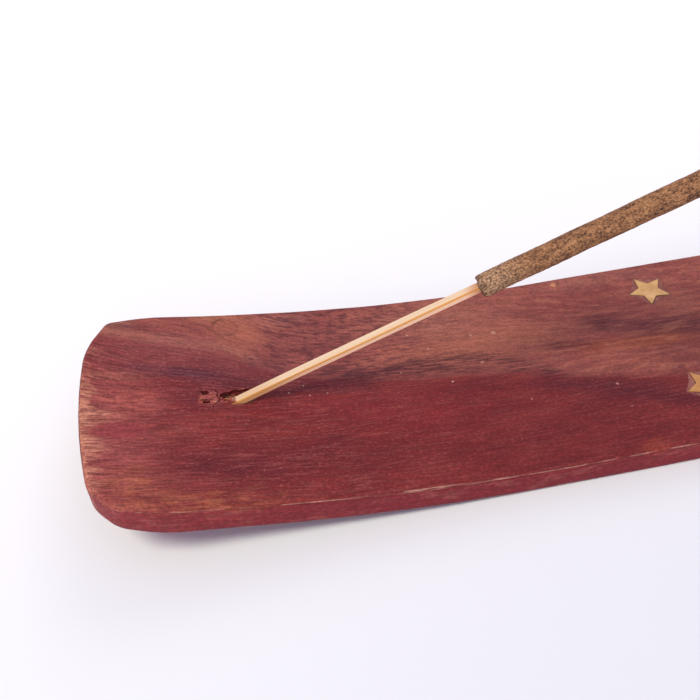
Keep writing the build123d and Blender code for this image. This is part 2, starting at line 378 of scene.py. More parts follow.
def stainedWood():
    material, tree, onPiece = startMaterial("stained hardwood, sanded")
    place = addNode(tree, "VectorMath", {0: onPiece, 1: (trayLength / 2, 0, 0)}, operation="ADD")
    along = addNode(tree, "SeparateXYZ", {0: place}, out="X")
    across = along.node.outputs["Y"]
    alongShare = addNode(tree, "Math", {0: along, 1: trayLength}, operation="DIVIDE")

    def courseAcross(course):
        # millimetres across that a course has reached at this distance from the raised end
        reached = addNode(tree, "FloatCurve", {"Value": alongShare},
                          course=[(u / trayLength, v / traySide / 2 + 0.5) for u, v in course])
        return addNode(tree, "Math", {0: reached, 1: traySide * 2, 2: -traySide}, operation="MULTIPLY_ADD")

    def ellipse(centre, reach, plan):
        # 0 in the middle of a patch, 1 on its outline
        local = addNode(tree, "Mapping", {
            "Vector": plan, "Location": (*centre, 0), "Scale": (*reach, 1)}, vector_type="TEXTURE")
        return addNode(tree, "VectorMath", {0: local}, out="Value", operation="LENGTH")

    # fibres run straight on the near half, and bend with the edge of the brown wood on the far half
    brownEdge = courseAcross(woodFigure["brownEdge"])
    follow = addNode(tree, "MapRange", {
        "Value": across, "From Min": woodFigure["straightTo"], "From Max": woodFigure["bentFrom"],
        "To Max": woodFigure["bend"]})
    bend = addNode(tree, "Math", {0: brownEdge, 1: woodFigure["bendLevel"]}, operation="SUBTRACT")
    fibreAcross = addNode(tree, "Math", {0: across, 1: share(tree, bend, follow)}, operation="SUBTRACT")
    # and follow the curl
    toFlat = addNode(tree, "Math", {0: trayShape["topRun"], 1: along}, operation="SUBTRACT")
    curled = addNode(tree, "Math", {0: toFlat, 1: 0.0}, operation="MAXIMUM")
    fibreUp = addNode(tree, "Math", {
        0: share(tree, curled, curled), 1: -0.5 / trayShape["curlRadius"], 2: along.node.outputs["Z"]},
        operation="MULTIPLY_ADD")
    grainPlace = addNode(tree, "CombineXYZ", {0: along, 1: fibreAcross, 2: fibreUp})
    measures = {"along": along, "across": across}
    for name, (length, width, detail) in woodGrain.items():
        measures[name] = speckle(tree, grainPlace, (length, width, width), detail)
    fibre, tooth, blotch = (measures[name] for name in ("fibre", "tooth", "blotch"))

    # the figure's outlines waver, and their fringe follows the fibres
    broad = addNode(tree, "Math", {0: measures["waver"], 1: woodFigure["waver"], 2: across},
                    operation="MULTIPLY_ADD")
    fine = addNode(tree, "Math", {0: measures["fringe"], 1: woodFigure["fringe"], 2: broad},
                   operation="MULTIPLY_ADD")
    ragged = addNode(tree, "Math", {0: fine, 1: (woodFigure["waver"] + woodFigure["fringe"]) / 2},
                     operation="SUBTRACT")
    figurePlace = addNode(tree, "CombineXYZ", {0: along, 1: ragged})
    shaken = addNode(tree, "VectorMath", {0: tooth.node.outputs["Color"], 1: woodFigure["shake"], 2: place},
                     operation="MULTIPLY_ADD")
    shakenPlan = addNode(tree, "VectorMath", {0: shaken, 1: (1, 1, 0)}, operation="MULTIPLY")

    pastEdge = addNode(tree, "Math", {0: ragged, 1: brownEdge}, operation="SUBTRACT")
    nearEdge = share(tree, pastEdge, (along, *woodFigure["softerEnd"]))
    brown = share(tree, (nearEdge, *woodFigure["edgeSoft"]))
    wornTo = share(tree, (blotch, *woodFigure["wearTo"]))
    knot, knotReach = woodPatches["knotSide"][:2]
    measures["brown"] = brown
    measures["red"] = addNode(tree, "Math", {0: 1.0, 1: brown}, operation="SUBTRACT")
    measures["edge"] = addNode(tree, "Attribute", out="Fac", attribute_name="arris")
    measures["pastWear"] = addNode(tree, "Math", {0: along, 1: wornTo}, operation="SUBTRACT")
    measures["offKnot"] = share(tree, (ellipse(knot, knotReach, figurePlace), *woodFigure["offKnot"]))

    def measured(limits):
        # a layer's limits, with the nodes that their names stand for
        return [(measures[limit[0]], *limit[1:]) if isinstance(limit, tuple) else measures[limit]
                for limit in limits]

    def layered(under, layers):
        for code, amount, *limits in layers.values():
            under = paint(tree, under, code, amount, *measured(limits))
        return under

    for name, limits in woodShares.items():
        measures[name] = share(tree, *measured(limits))

    redStain = addNode(tree, "ValToRGB", {"Fac": measures["cloud"]}, stops=woodFigure["red"])
    brownWood = addNode(tree, "ValToRGB", {"Fac": measures["figure"]}, stops=woodFigure["brown"])
    colour = layered(paint(tree, redStain, brownWood, brown), thinStain)
    for centre, reach, soft, code, amount, broken in woodPatches.values():
        outline = ellipse(centre, reach, figurePlace)
        colour = paint(tree, colour, code, amount, (outline, 1 + soft, 1 - soft),
                       (blotch, *woodFigure["gaps"], 1 - broken, 1.0))
    ring = ellipse(knotRing["centre"], knotRing["reach"], shakenPlan)
    colour = paint(tree, colour, knotRing["colour"], knotRing["share"], (ring, *knotRing["inside"]),
                   (ring, *knotRing["outside"]), (blotch, *knotRing["gaps"]))
    for half, soft, (start, end), run, code, amount, broken, course in woodStreaks.values():
        offset = addNode(tree, "Math", {0: ragged, 1: courseAcross(course)}, operation="SUBTRACT")
        distance = addNode(tree, "Math", {0: offset}, operation="ABSOLUTE")
        colour = paint(tree, colour, code, amount, (distance, half + soft, half - soft / 2),
                       (measures["dash"], *woodFigure["gaps"], 1 - broken, 1.0),
                       (along, start - run, start), (along, end + run, end))
    colour = layered(colour, woodLayers)

    # the tongue of stain, single flecks, and crumbs of dust on the flat top
    for centre, reach, code in [tongue, *flecks]:
        outline = ellipse(centre, reach, shakenPlan)
        colour = paint(tree, colour, code, fleckLook["share"], (outline, *fleckLook["outline"]))
    cells = addNode(tree, "TexVoronoi", {"Vector": shaken, "Scale": 1 / dust["spacing"], "Randomness": 1.0},
                    out="Distance", voronoi_dimensions="2D")
    chance = addNode(tree, "SeparateColor", {0: cells.node.outputs["Color"]})
    size = share(tree, chance.node.outputs["Green"], dust["radius"] / dust["spacing"])
    outline = addNode(tree, "Math", {0: cells, 1: size}, operation="DIVIDE")
    colour = paint(tree, colour, dust["colour"], dust["share"], (outline, *dust["outline"]),
                   (chance, 1 - dust["chosen"], 1.001 - dust["chosen"]),
                   (measures["edge"], *dust["onTop"]), (along, *dust["from"]))

    # fibres and the tooth of the sanding lighten and darken everything, most at the raised end
    fibreShare = share(tree, (along, *woodFigure["fibreLight"]), (measures["calm"], *woodFigure["calmLight"]))
    fibreMiddle = addNode(tree, "Math", {0: fibreShare, 1: -0.5, 2: 1.0}, operation="MULTIPLY_ADD")
    fibreLight = addNode(tree, "Math", {0: fibre, 1: fibreShare, 2: fibreMiddle}, operation="MULTIPLY_ADD")
    light = share(tree, fibreLight, (tooth, *woodFigure["toothLight"]))
    colour = addNode(tree, "VectorMath", {0: colour, "Scale": light}, operation="SCALE")
    finishMaterial(tree, {"Base Color": colour, "Roughness": share(tree, (fibre, *woodFigure["roughness"])),
                          "Specular IOR Level": 0.15}, (fibre, 0.35, 0.06))
    return material


# Hardwood cut across its fibres: dull and stringy, olive brown where the drill went deep below the stain,
# dark red where the surface broke out
tornLook = {
    "strings": (1.4, 0.22, 0.22),  # patch sizes in millimetres
    "stops": (0.3, 0.45, 0.58, 0.72),
    "drilled": ("5a3c2e", "887258", "965e46", "b88a66"),
    "crushed": ("32090f", "5a1c20", "80362f", "a8604c"),
}


def tornWood(name, colours):
    material, tree, place = startMaterial(name)
    strings = speckle(tree, place, tornLook["strings"], 3.0)
    colour = addNode(tree, "ValToRGB", {"Fac": strings}, stops=list(zip(tornLook["stops"], colours)))
    finishMaterial(tree, {"Base Color": colour, "Roughness": 0.85, "Specular IOR Level": 0.1},
                   (strings, 0.8, 0.15))
    return material


hole = {
    "fromEnd": 23.4,
    "offset": 0.8,
    "radius": 1.4,
    "floor": 0.9,
    "pointAngle": 118.0,
    "above": 7.0,  # the cutter stands this far out of the mouth
    "segments": 36,
    "rings": 16,
    "unevenness": 0.07,
    "wobble": (1.3, 8),
}
mouthDamage = {
    # places from the raised end and across, length, width, depth, and turn in degrees
    "pits": [
        (18.45, 2.2, 1.2, 0.75, 0.8, 12), (18.4, 0.35, 1.15, 0.9, 0.9, -10),
        (17.8, 2.45, 0.7, 0.3, 0.4, 25), (17.75, 0.75, 0.5, 0.4, 0.35, 0),
    ],
    "crack": [
        (19.6, 2.85, 0.7, 0.14, 0.4, -10), (20.05, 2.35, 0.9, 0.2, 0.5, -58),
        (20.1, 1.6, 0.8, 0.24, 0.5, -100), (20.35, 0.95, 0.8, 0.3, 0.5, -70),
        (20.2, 0.3, 0.8, 0.2, 0.45, -118), (19.7, -0.2, 0.7, 0.16, 0.4, -150),
        (19.35, -0.75, 0.6, 0.14, 0.3, -95), (19.1, 0.65, 0.8, 0.12, 0.25, 8),
        (18.9, -0.25, 0.5, 0.16, 0.3, 40),
    ],
    "lip": [
        (21.3, 1.6, 1.9, 1.0, 0.9, 12), (23.9, 1.9, 5.0, 1.4, 0.9, 5), (21.9, 1.2, 0.9, 0.5, 0.5, -20),
    ],
}
chipLumps = ((0.35, 0.7, 0), (0.2, 0.3, 20))  # how far, over which size, and the first seed


def curlRise(run, fromEnd):
    inside = max(run - fromEnd, 0.0)
    return trayShape["curlRadius"] - math.sqrt(trayShape["curlRadius"] ** 2 - inside ** 2)


def topHeight(x):
    return trayShape["thickness"] + curlRise(trayShape["topRun"], x - trayLow.x)


def rimDistance(outline, x, y):
    # from a point of the plan to the nearest stretch of its outline
    nearest = trayShape["rimReach"]
    if abs(y) < traySide - nearest and abs(x) < trayLength / 2 - trayShape["rimReachAtEnds"]:
        return nearest
    place = Vector((x, y))
    for start, end in zip(outline, outline[1:] + outline[:1]):
        part = min(max(geometry.intersect_point_line(place, start, end)[1], 0.0), 1.0)
        nearest = min(nearest, (place - start.lerp(end, part)).length)
    return nearest


def roundedDrop(ease, distance):
    # how far a quarter round of this radius has dropped at a distance from the edge
    inside = max(ease - distance, 0.0)
    return ease - math.sqrt(ease ** 2 - inside ** 2)


def onlyVerts(geom):
    return [g for g in geom if isinstance(g, bmesh.types.BMVert)]


def roundCorners(bm, verts, offset, segments):
    bmesh.ops.bevel(bm, geom=verts, offset=offset, segments=segments, profile=0.5,
                    affect="VERTICES", material=-1)


def trayPlan(bm):
    # the plan's face from its corner points, with bowed ends and rounded corners; gives back its outline
    shape = trayShape
    half = trayLength / 2
    corners = {"farClip": [], "nearClip": [], "farShoulder": [], "nearShoulder": [], "taper": []}
    ring = []
    for end, outward in ((-1, 1), (1, 1), (1, -1), (-1, -1)):
        clip, shoulder = ("farClip", "farShoulder") if outward > 0 else ("nearClip", "nearShoulder")
        places = {
            clip: (end * (half - shape["endBow"]), outward * (traySide - shape[clip]), 0),
            shoulder: (end * (half - shape["shoulderRun"]), outward * (traySide - shape["shoulderInset"]), 0),
            "taper": (end * (half - shape["taperRun"]), outward * traySide, 0),
        }
        made = {kind: bm.verts.new(place) for kind, place in places.items()}
        for kind, place in places.items():
            corners[kind].append(Vector(place))
        order = (clip, shoulder, "taper") if end * outward < 0 else ("taper", shoulder, clip)
        ring += [made[kind] for kind in order]
    plan = bm.faces.new(ring)
    ends = [e for e in plan.edges if all(abs(v.co.x) > half - shape["shoulderRun"] / 2 for v in e.verts)]
    bowed = bmesh.ops.subdivide_edges(bm, edges=ends, cuts=shape["bowCuts"])["geom_inner"]
    middle = (shape["nearClip"] - shape["farClip"]) / 2
    reach = traySide - (shape["nearClip"] + shape["farClip"]) / 2
    for vert in onlyVerts(bowed):
        vert.co.x += math.copysign(shape["endBow"], vert.co.x) * (1 - ((vert.co.y - middle) / reach) ** 2)
    bmesh.ops.dissolve_faces(bm, faces=bm.faces[:])
    for kind, places in corners.items():
        rounded = [min(bm.verts, key=lambda v: (v.co - place).length) for place in places]
        roundCorners(bm, rounded, shape[kind + "Ease"], shape["easeSegments"])
    bm.faces.ensure_lookup_table()
    return [v.co.to_2d() for v in bm.faces[0].verts]


def trayBlank():
    # the plan extruded, cut into strips, its edges eased, and curled up
    shape = trayShape
    half = trayLength / 2
    bm = bmesh.new()
    outline = trayPlan(bm)
    lifted = bmesh.ops.extrude_face_region(bm, geom=bm.faces[:])["geom"]
    bmesh.ops.translate(bm, vec=(0, 0, shape["thickness"]), verts=onlyVerts(lifted))
    bmesh.ops.recalc_face_normals(bm, faces=bm.faces[:])
    for face in [f for f in bm.faces if abs(f.normal.z) > 0.9]:
        for step in shape["rimLoops"]:
            bmesh.ops.inset_region(bm, faces=[face], thickness=step, use_even_offset=True, use_boundary=True)
    curlStrip, curlCount = shape["curlStrips"]
    flatStrip, flatCount = shape["flatStrips"]
    stations = [-half + curlStrip * (i + 1) for i in range(curlCount)]
    stations += [-half + shape["flatFrom"] + flatStrip * i for i in range(flatCount)]
    cuts = [((x, 0, 0), (1, 0, 0)) for x in stations]
    cuts += [((0, y, 0), (0, 1, 0)) for y in shape["acrossCuts"]]
    cuts += [((0, 0, shape["thickness"] * part), (0, 0, 1)) for part in shape["wallCuts"]]
    for place, normal in cuts:
        bmesh.ops.bisect_plane(bm, geom=bm.verts[:] + bm.edges[:] + bm.faces[:], plane_co=place,
                               plane_no=normal, dist=0.02)
    bmesh.ops.dissolve_degenerate(bm, edges=bm.edges[:], dist=0.01)

    for vert in bm.verts:
        x, y, z = vert.co
        distance = rimDistance(outline, x, y)
        varies = 1 + shape["easeVaries"] * wobble(Vector((x, y, 0)), *shape["easeWobble"])
        toCorner = shape["cornerEase"] - shape["endEase"]
        ease = shape["endEase"] + toCorner * smoothStep(*shape["cornerFrom"], y)
        ease += (shape["sideEase"] - ease) * smoothStep(*shape["sideFrom"], half - abs(x))
        low = roundedDrop(shape["soleEase"] * varies, distance)
        high = shape["thickness"] - roundedDrop(ease * varies, distance)
        z = low + z / shape["thickness"] * (high - low)
        beside = Vector((x, math.copysign(shape["waverApart"], y), 0))
        stray = shape["waver"] * wobble(beside, *shape["waverWobble"])
        y += stray * smoothStep(shape["waverFrom"], 1.0, abs(y) / traySide)
        sole = curlRise(shape["soleRun"], x - trayLow.x)
        vert.co = (x, y, sole + z / shape["thickness"] * (topHeight(x) - sole))
    bmesh.ops.recalc_face_normals(bm, faces=bm.faces[:])
    return bm, outline


stickLean = math.asin(frame["record"]["behaviour"]["joints"][0]["axis"][2])
leaned = Matrix.Rotation(-stickLean, 4, "Y")  # stands a piece made along X up at the stick's lean


def boreCutter():
    # the drill, made along X: uneven, with its point, and leaned into the mouth
    slope = math.asin((trayShape["topRun"] - hole["fromEnd"]) / trayShape["curlRadius"])
    mouth = Vector((trayLow.x + hole["fromEnd"], hole["offset"], topHeight(trayLow.x + hole["fromEnd"])))
    wood = (mouth.z - curlRise(trayShape["soleRun"], hole["fromEnd"])) * math.cos(slope)
    entry = stickLean + slope
    depth = (wood - hole["floor"] - hole["radius"] * math.cos(entry)) / math.sin(entry)
    bm = bmesh.new()
    bmesh.ops.create_cone(bm, cap_ends=True, segments=hole["segments"], radius1=hole["radius"],
                          radius2=hole["radius"], depth=depth + hole["above"])
    bmesh.ops.rotate(bm, verts=bm.verts[:], matrix=Matrix.Rotation(math.radians(90), 3, "Y"))
    bmesh.ops.translate(bm, verts=bm.verts[:], vec=((hole["above"] - depth) / 2, 0, 0))
    sides = [e for e in bm.edges if abs(e.verts[0].co.x - e.verts[1].co.x) > depth]
    bmesh.ops.subdivide_edges(bm, edges=sides, cuts=hole["rings"], use_grid_fill=True)
    bottom = [f for f in bm.faces if f.calc_center_median().x < 0.01 - depth]
    point = hole["radius"] / math.tan(math.radians(hole["pointAngle"] / 2))
    bmesh.ops.poke(bm, faces=bottom, offset=point)
    for vert in bm.verts:
        vert.co.yz *= 1 + hole["unevenness"] * wobble(vert.co, *hole["wobble"])
    bmesh.ops.transform(bm, verts=bm.verts[:], matrix=Matrix.Translation(mouth) @ leaned)
    return bm


def chipCutters():
    # ragged lumps that take out each chip and each stretch of the crack
    bm = bmesh.new()
    chips = [chip for kind in mouthDamage.values() for chip in kind]
    for number, (u, v, length, width, depth, turn) in enumerate(chips):
        x = trayLow.x + u
        made = bmesh.ops.create_icosphere(bm, subdivisions=3, radius=1)["verts"]
        for vert in made:
            vert.co *= 1 + sum(far * wobble(vert.co, size, number + seed) for far, size, seed in chipLumps)
        bmesh.ops.scale(bm, verts=made, vec=(length / 2, width / 2, depth))
        bmesh.ops.rotate(bm, verts=made, matrix=Matrix.Rotation(math.radians(turn), 3, "Z"))
        bmesh.ops.translate(bm, verts=made, vec=(x, v, topHeight(x)))
    return bm


# Stars and their pockets
starShape = {
    "tip": 3.6,
    "notch": 1.75,
    "fillerAtTips": 0.3,
    "fillerAtNotches": 1.1,
    "depth": 1.2,
    "proud": 0.05,  # the brass stands this far above the wood
    "sunk": 0.05,  # and the filler this far below it
    "gap": 0.06,  # brass to filler
    "gapShift": 0.05,  # the star was pressed in off centre, so the gap shows on its near sides
    "blunt": 0.16,
    "bluntSegments": 3,
    "easedEdge": 0.07,
    "easedSegments": 2,
    "sharp": 18,
    "fillerCuts": 3,
    "fillerUneven": 0.03,
    "fillerWobble": (0.9, 3),
    "cutterRise": 2.0,  # the pockets' cutters stand this far above the wood
}
pocketTip = starShape["tip"] + starShape["fillerAtTips"]
pocketNotch = starShape["notch"] + starShape["fillerAtNotches"]


def starPlace(node):
    # middle of a star and the direction of its first tip, from its solid
    corners = {tuple(round(c / mm, 3) for c in v.co.xy) for v in frame["nodes"][node].data.vertices}
    middle = sum((Vector(c) for c in corners), Vector((0, 0))) / len(corners)
    tip = max(((Vector(c) - middle) for c in sorted(corners)), key=lambda spoke: round(spoke.length, 2))
    return middle, math.atan2(tip.y, tip.x)


def starRing(bm, tip, notch, middle, turn, height):
    # ten points of a star, from a circle with every other point drawn in
    ring = bmesh.ops.create_circle(bm, segments=10, radius=tip)["verts"]
    first = math.atan2(ring[0].co.y, ring[0].co.x)
    bmesh.ops.scale(bm, verts=ring[1::2], vec=(notch / tip, notch / tip, 1))
    bmesh.ops.rotate(bm, verts=ring, matrix=Matrix.Rotation(turn - first, 3, "Z"))
    bmesh.ops.translate(bm, verts=ring, vec=(*middle, height))
    return ring


def extrudeDown(bm, faces, depth):
    made = bmesh.ops.extrude_face_region(bm, geom=faces)["geom"]
    bmesh.ops.translate(bm, vec=(0, 0, -depth), verts=onlyVerts(made))
    bmesh.ops.recalc_face_normals(bm, faces=bm.faces[:])


def pocketCutters(stars):
    bm = bmesh.new()
    rise = starShape["cutterRise"]
    for middle, turn in stars:
        ring = starRing(bm, pocketTip, pocketNotch, middle, turn, trayShape["thickness"] + rise)
        extrudeDown(bm, [bm.faces.new(ring)], starShape["depth"] + rise)
    return bm


def carve(blank, cutters):
    # cuts every cutter out of the blank; the cut faces take the cutter's material slot
    tools = bmesh.new()
    for cutter, slot in cutters:
        for face in cutter.faces:
            face.material_index = slot
        mesh = bpy.data.meshes.new("cutter")
        cutter.to_mesh(mesh)
        cutter.free()
        tools.from_mesh(mesh)
        bpy.data.meshes.remove(mesh)
    pair = [addMesh(name, bm, [None] * len(cutters)) for name, bm in (("blank", blank), ("tools", tools))]
    cut = pair[0].modifiers.new("cut", "BOOLEAN")
    cut.object = pair[1]
    cut.solver = "EXACT"
    cut.use_self = True
    evaluated = pair[0].evaluated_get(bpy.context.evaluated_depsgraph_get())
    carved = bmesh.new()
    carved.from_mesh(evaluated.to_mesh())
    evaluated.to_mesh_clear()
    for thing in pair:
        mesh = thing.data
        bpy.data.objects.remove(thing)
        bpy.data.meshes.remove(mesh)
    return carved


starNames = sorted(name for name in frame["nodes"] if name.startswith("star_inlay"))
starPlaces = [starPlace(name) for name in starNames]


def makeTray():
    materials = [stainedWood(), tornWood("drilled hardwood, bare", tornLook["drilled"]),
                 tornWood("torn hardwood, stained", tornLook["crushed"])]
    blank, outline = trayBlank()
    bm = carve(blank, [(boreCutter(), 1), (pocketCutters(starPlaces), 1), (chipCutters(), 2)])
    # millimetres in from the outline on the top, and minus those below the eased edge on the walls
    arris = bm.verts.layers.float.new("arris")
    for vert in bm.verts:
        inwards = rimDistance(outline, vert.co.x, vert.co.y)
        down = topHeight(vert.co.x) - vert.co.z
        onTop = inwards > trayShape["rimWidth"] and down < trayShape["topDepth"]
        vert[arris] = inwards if onTop else -max(down - trayShape["sideEase"], 0.0)
    finishPiece("woodTray", bm, materials, "holder", ["tray"], sharp=trayShape["sharp"])


makeTray()

# Splinters and crumbs that the drill left in the mouth
splinters = [
    # from the raised end, across, length, width, turn in plan, tilt, and height above the wood
    (20.75, 0.95, 0.55, 0.24, 10, 12, 0.02), (21.0, 0.5, 0.5, 0.22, 70, 20, 0.0),
    (20.65, 0.15, 0.6, 0.14, -15, 10, 0.0), (21.45, 0.1, 1.5, 0.42, 10, 8, -0.02),
    (21.75, 0.42, 1.3, 0.36, 26, 18, -0.02), (22.2, 0.0, 1.2, 0.32, 8, 20, 0.02),
    (22.45, 0.35, 0.9, 0.22, 44, 34, 0.06), (22.75, -0.12, 0.8, 0.22, -6, 16, 0.06),
    (21.3, 0.85, 0.9, 0.3, -18, 10, -0.12), (21.95, 0.7, 0.8, 0.16, 74, 30, -0.05),
    (17.8, 0.35, 0.6, 0.22, 30, 15, 0.03), (17.65, 0.9, 0.5, 0.16, -20, 10, 0.03),
    (19.05, 1.25, 1.2, 0.3, 6, 6, 0.0), (19.5, 0.25, 0.9, 0.26, -35, 8, 0.02),
    (18.2, 2.75, 0.7, 0.14, 12, 8, 0.02), (19.15, 1.9, 0.9, 0.2, -10, 7, 0.0),
    (21.9, 2.42, 2.2, 0.14, 8, 1, 0.0), (24.1, 2.68, 2.4, 0.12, 6, 0, 0.0),
]
splinterShape = {"ragged": 0.5, "raggedSize": 0.35, "flatness": 0.7}


# Splintered hardwood: red to orange where the stain soaked into broken fibres
def splinteredWood():
    material, tree, place = startMaterial("splintered hardwood")
    blotch = speckle(tree, place, (0.7, 0.7, 0.7), 2.0)
    colour = addNode(tree, "ValToRGB", {"Fac": blotch},
                     stops=[(0.35, "7c2c2a"), (0.5, "a04a3e"), (0.66, "c4825c")])
    finishMaterial(tree, {"Base Color": colour, "Roughness": 0.8, "Specular IOR Level": 0.2})
    return material


def makeSplinters():
    bm = bmesh.new()
    for number, (u, v, length, width, turn, tilt, lift) in enumerate(splinters):
        x = trayLow.x + u
        made = bmesh.ops.create_icosphere(bm, subdivisions=2, radius=0.5)["verts"]
        for vert in made:
            vert.co *= 1 + splinterShape["ragged"] * wobble(vert.co, splinterShape["raggedSize"], number)
        bmesh.ops.scale(bm, verts=made, vec=(length, width, width * splinterShape["flatness"]))
        lay = Matrix.Rotation(math.radians(turn), 3, "Z") @ Matrix.Rotation(math.radians(-tilt), 3, "Y")
        bmesh.ops.rotate(bm, verts=made, matrix=lay)
        bmesh.ops.translate(bm, verts=made, vec=(x, v, topHeight(x) + lift))
    finishPiece("mouthSplinters", bm, [splinteredWood()], "holder")


makeSplinters()

# Sheet brass, sanded flush with the wood: dull, pale gold, with fine scratches that lie one way
brassLook = {
    "dull": (2.5, 2.5, 2.5),  # patch sizes in millimetres
    "scratch": (3, 0.12, 1),
    "scratchTurn": 0.5,
    "gold": [(0.3, "bc9060"), (0.55, "d3a974"), (0.75, "ddb88a")],
    "tarnish": "bd7f4a",
    "tarnishFrom": 4.0,  # across, because the near row is more tarnished
    "tarnishFull": -8.0,
    "tarnishShare": 0.6,
}


def sandedBrass():
    material, tree, place = startMaterial("sheet brass, sanded")
    dull = speckle(tree, place, brassLook["dull"], 3.0)
    scratch = speckle(tree, place, brassLook["scratch"], 2.0, turn=brassLook["scratchTurn"])
    colour = addNode(tree, "ValToRGB", {"Fac": dull}, stops=brassLook["gold"])
    across = addNode(tree, "SeparateXYZ", {0: place}, out="Y")
    tarnish = addNode(tree, "MapRange", {
        "Value": across, "From Min": brassLook["tarnishFrom"], "From Max": brassLook["tarnishFull"],
        "To Max": brassLook["tarnishShare"]})
    colour = paint(tree, colour, brassLook["tarnish"], tarnish)
    rough = addNode(tree, "MapRange", {
        "Value": scratch, "From Min": 0.3, "From Max": 0.7, "To Min": 0.42, "To Max": 0.62})
    finishMaterial(tree, {"Base Color": colour, "Metallic": 1.0, "Roughness": rough}, (scratch, 0.25, 0.02))
    return material


# Resin mixed with sanding dust, smoothed over: matt, pinkish brown, with fine specks
def dustFiller():
    material, tree, place = startMaterial("resin and wood dust filler")
    speck = speckle(tree, place, (0.8, 0.8, 0.8), 4.0)
    colour = addNode(tree, "ValToRGB", {"Fac": speck},
                     stops=[(0.3, "73403a"), (0.5, "885048"), (0.7, "976258")])
    finishMaterial(tree, {"Base Color": colour, "Roughness": 0.7, "Specular IOR Level": 0.3},
                   (speck, 0.4, 0.06))
    return material


def brassStar(middle, turn):
    shape = starShape
    top = trayShape["thickness"]
    bm = bmesh.new()
    ring = starRing(bm, shape["tip"], shape["notch"], middle, turn, top + shape["proud"])
    bm.faces.new(ring)
    roundCorners(bm, ring[0::2], shape["blunt"], shape["bluntSegments"])
    extrudeDown(bm, bm.faces[:], shape["depth"] + shape["proud"])
    rim = [e for e in bm.edges if all(v.co.z > top for v in e.verts)]
    bmesh.ops.bevel(bm, geom=rim, offset=shape["easedEdge"], segments=shape["easedSegments"], profile=0.5,
                    affect="EDGES", material=-1)
    bmesh.ops.poke(bm, faces=[f for f in bm.faces if abs(f.normal.z) > 0.99])
    return bm


def starFiller(middle, turn):
    # the pocket's outline, inset, and the inset drawn to the star's own points
    shape = starShape
    bm = bmesh.new()
    ring = starRing(bm, pocketTip, pocketNotch, middle, turn, trayShape["thickness"] - shape["sunk"])
    star = bm.faces.new(ring)
    bmesh.ops.inset_individual(bm, faces=[star], thickness=shape["gap"])
    for vert in star.verts:
        spoke = vert.co.xy - middle
        reach = shape["tip"] if spoke.length > (pocketTip + pocketNotch) / 2 else shape["notch"]
        vert.co.xy = middle - Vector((0, shape["gapShift"])) + spoke.normalized() * (reach + shape["gap"])
    bmesh.ops.delete(bm, geom=[star], context="FACES_ONLY")
    bmesh.ops.subdivide_edges(bm, edges=bm.edges[:], cuts=shape["fillerCuts"], use_grid_fill=True)
    for vert in bm.verts:
        vert.co.z += shape["fillerUneven"] * wobble(vert.co, *shape["fillerWobble"])
    extrudeDown(bm, bm.faces[:], shape["depth"] - shape["sunk"])
    return bm


def makeStars():
    brass = sandedBrass()
    filler = dustFiller()
    for node, (middle, turn) in zip(starNames, starPlaces):
        finishPiece(node.replace("star_inlay", "brassStar"), brassStar(middle, turn), [brass], "holder",
                    [node], sharp=starShape["sharp"])
        finishPiece(node.replace("star_inlay", "starFiller"), starFiller(middle, turn), [filler], "holder",
                    [node.replace("inlay", "filler")])


makeStars()

# Incense stick, made along X from the foot of the bamboo and then leaned into the hole
bareLength = 45.4  # of bamboo below the paste
bambooShape = {
    "thickness": 1.05,
    "width": 1.4,
    "edgeRound": 0.15,
    "edgeSegments": 3,
    "faceCuts": 7,
    "flute": 0.035,  # grooves left by splitting
    "fluteWobble": (0.16, 11),
    "lengthCuts": 75,
    "bow": 0.12,  # bend of the bare bamboo
    "bowFrom": (0, 12),  # from the foot
    "bowTo": (6, -10),  # past the start of the paste
    "sway": 0.5,  # share of the bow that goes sideways
    "swayWobble": (14, 6),
}
bambooLow, bambooHigh = (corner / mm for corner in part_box("bamboo_core"))
bambooRun = bambooHigh.x - bambooLow.x - bambooShape["thickness"] * math.sin(stickLean)
bambooLength = bambooRun / math.cos(stickLean)
stickMiddle = (bambooLow + bambooHigh) / 2
stickFoot = stickMiddle - leaned.to_3x3() @ Vector((bambooLength / 2, 0, 0))
stickPlace = Matrix.Translation(stickFoot) @ leaned


def startStickMaterial(name):
    # the same as startMaterial, with the place along the stick from its foot, across, and up through it
    material, tree, onPiece = startMaterial(name)
    place = addNode(tree, "Mapping", {
        "Vector": onPiece, "Location": stickFoot, "Rotation": (0, -stickLean, 0)}, vector_type="TEXTURE")
    return material, tree, place


# Split bamboo, bare: straw yellow with fibres along it, a golden skin edge, and duller sides whose colour is
# painted lighter than the top's to make up for the weaker light on them
bambooLook = {
    "fibre": (22, 0.13, 0.13),  # patch sizes in millimetres
    "pale": [(0.3, "dbb68e"), (0.5, "e6c9a7"), (0.7, "edd4b6")],
    # painted light: the sides' colour is lighter than the top's to make up for the weaker light that reaches
    # them
    "side": [(0.3, "f0b890"), (0.5, "fccea9"), (0.7, "fdd8b8")],
    "topFrom": (0.3, 0.48),  # above the middle, where the side ends and the top is full
    "skin": "d9974c",  # along the near upper edge
    "skinPlace": (0, -0.62, 0.46),
    "skinReach": (0.24, 0.1),
    "sootAndShade": "c98f4e",  # soot and painted shade where the stick goes into the hole, less on its top
    "sootAndShadeRun": (19.0, 8.0, 0, 0.75),
    "sootAndShadeOnTop": -0.42,
    "soaked": "c47a45",  # by the paste, just below it
    "soakRun": (bareLength - 3.0, bareLength, 0, 0.7),
}


